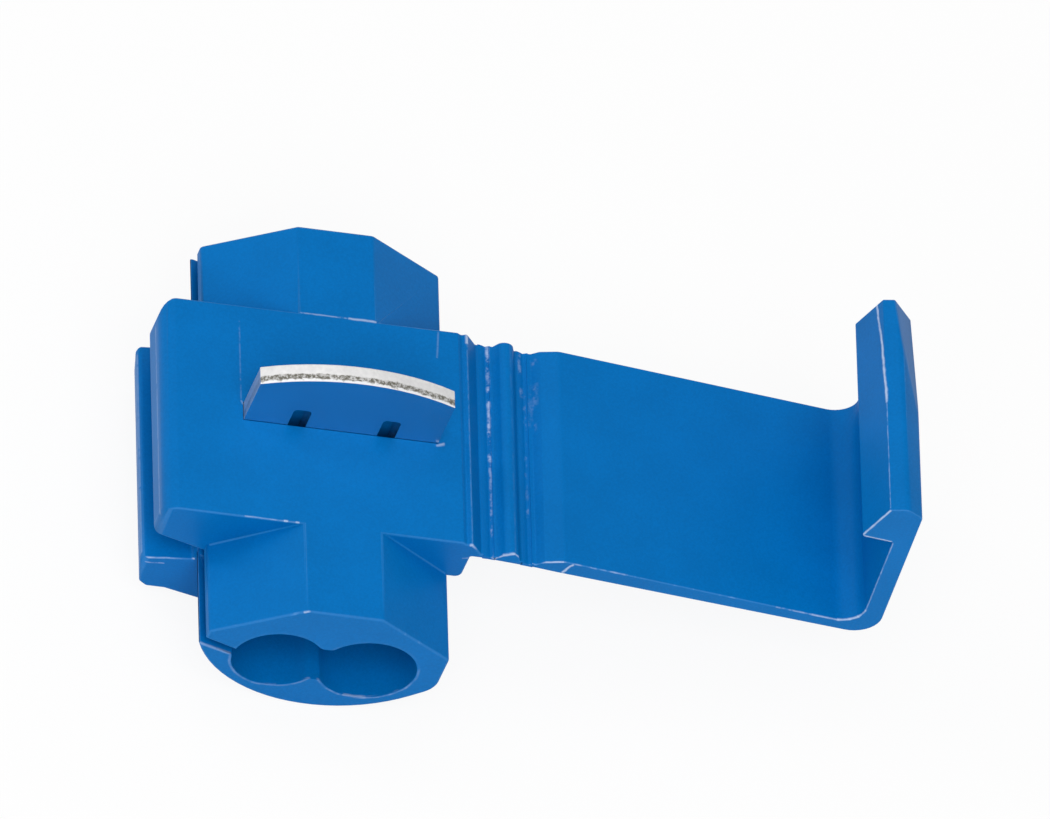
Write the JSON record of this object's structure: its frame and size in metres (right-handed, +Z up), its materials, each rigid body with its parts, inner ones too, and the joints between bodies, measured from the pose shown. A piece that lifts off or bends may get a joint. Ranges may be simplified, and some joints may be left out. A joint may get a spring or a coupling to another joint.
{
  "type": "tap splice wire connector",
  "caption": "Flat moulded tap splice with two side-by-side wire ports, a proud contact blade and a folding cover with a snap hook.",
  "frame": {"origin": "on the flat base, midway between the two wire ports and midway along them", "axes": "+X across the wires, from the housing towards the open cover; +Y along the wires, to the blind end of the tap port; +Z up, out of the face that the blade is pressed into"},
  "size_m": [0.0327, 0.0198, 0.0141],
  "materials": {
    "housing_plastic": "semi-gloss moulded polypropylene, blue",
    "cover_plastic": "semi-gloss moulded polypropylene, blue",
    "blade_metal": "tin-plated strip with sheared edges"
  },
  "bodies": {
    "housing": {"housing": "housing_plastic"},
    "link": {"hinge_link": "cover_plastic"},
    "cover": {"latch_cover": "cover_plastic"},
    "blade": {"contact_blade": "blade_metal"}
  },
  "joints": [
    {"name": "hinge_inner", "type": "hinge", "parent": "housing", "child": "link", "pos_m": [0.00675, 0, 0.00643], "axis": [0, -1, 0], "range_deg": [0, 103.9]},
    {"name": "hinge_outer", "type": "hinge", "parent": "link", "child": "cover", "pos_m": [0.0085, 0, 0.00625], "axis": [0, -1, 0], "range_deg": [0, 84.6]},
    {"name": "contact_press", "type": "slide", "parent": "housing", "child": "blade", "axis": [0, 0, -1], "range_m": [0, 0.00385]}
  ],
  "couplings": [
    {"joint": "contact_press", "follows": "hinge_outer", "m_per_rad": 0.002607}
  ]
}
